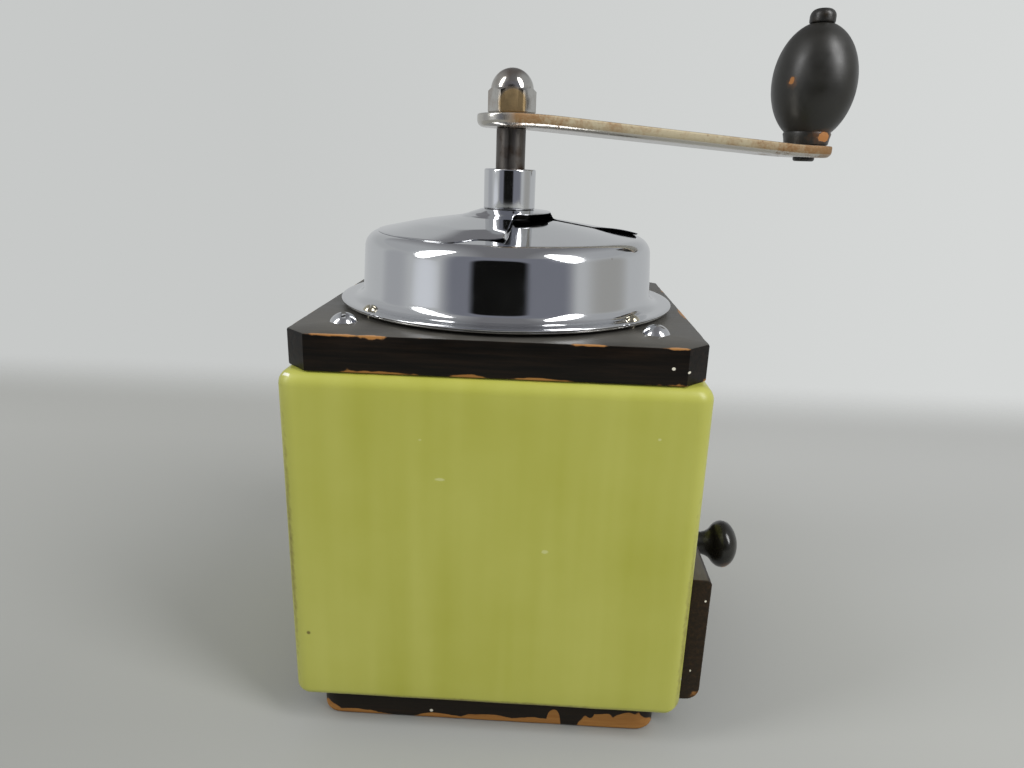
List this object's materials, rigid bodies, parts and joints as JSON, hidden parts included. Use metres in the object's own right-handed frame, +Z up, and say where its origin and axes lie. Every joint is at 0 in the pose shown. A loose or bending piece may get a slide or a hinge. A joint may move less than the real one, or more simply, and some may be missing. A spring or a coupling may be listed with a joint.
{
  "type": "manual coffee grinder",
  "caption": "Box coffee mill: painted sheet body between black wooden boards, chrome hopper dome with rotating shutter, hand crank, conical burrs and a drawer.",
  "frame": {"origin": "centre of the base board's underside, on the surface that the mill stands on", "axes": "+Z up along the crank's axis, +X towards the drawer"},
  "size_m": [0.1732, 0.115, 0.2179],
  "materials": {
    "green_paint": "satin, worn",
    "black_wood": "black stain, satin, worn to bare wood at the edges",
    "bare_wood": "raw beech",
    "chrome": "polished",
    "nickel": "nickel plate, worn and rust-speckled",
    "dark_steel": "dark bare steel",
    "black_steel": "black paint",
    "cast_iron": "as cast, ground teeth",
    "bronze": "turned"
  },
  "bodies": {
    "casing": {"base_board": "black_wood", "body_shell": "green_paint", "corner_blocks": "bare_wood", "top_board": "black_wood", "base_screws": "dark_steel", "top_screws": "chrome", "hopper_bowl": "chrome", "hopper_dome": "chrome", "flange_screws": "nickel", "dome_collar": "chrome", "collar_bush": "bronze", "ring_burr": "cast_iron", "burr_screws": "dark_steel", "lower_bridge": "dark_steel", "bridge_screws": "dark_steel", "detent_spring": "dark_steel", "drawer_rails": "bare_wood"},
    "cover": {"hopper_cover": "chrome"},
    "lift": {"thrust_pad": "dark_steel"},
    "adjuster": {"adjusting_screw": "bronze"},
    "crank": {"drive_shaft": "dark_steel", "cone_burr": "cast_iron", "burr_nut": "dark_steel", "crank_arm": "nickel", "cap_nut": "chrome", "knob_pin": "black_steel"},
    "knob": {"handle_knob": "black_wood"},
    "drawer": {"drawer_front": "black_wood", "drawer_sides": "bare_wood", "drawer_back": "bare_wood", "drawer_bottom": "bare_wood", "drawer_knob": "black_wood", "drawer_knob_screw": "dark_steel"}
  },
  "joints": [
    {"name": "drawer_slide", "type": "slide", "parent": "casing", "child": "drawer", "axis": [1, 0, 0], "range_m": [0, 0.075]},
    {"name": "cover_turn", "type": "hinge", "parent": "casing", "child": "cover", "pos_m": [0, 0, 0.1503], "axis": [0, 0, 1], "continuous": true},
    {"name": "adjuster_lift", "type": "slide", "parent": "casing", "child": "lift", "axis": [0, 0, 1], "range_m": [-0.001, 0.0005]},
    {"name": "screw_turn", "type": "hinge", "parent": "lift", "child": "adjuster", "pos_m": [0, 0, 0.0575], "axis": [0, 0, 1], "range_deg": [-360, 180]},
    {"name": "crank_turn", "type": "hinge", "parent": "lift", "child": "crank", "pos_m": [0, 0, 0.1577], "axis": [0, 0, 1], "continuous": true},
    {"name": "knob_spin", "type": "hinge", "parent": "crank", "child": "knob", "pos_m": [0.10176, 0.03906, 0.194], "axis": [0, 0, 1], "continuous": true}
  ],
  "couplings": [
    {"joint": "screw_turn", "follows": "adjuster_lift", "rad_per_m": 6283.2}
  ]
}
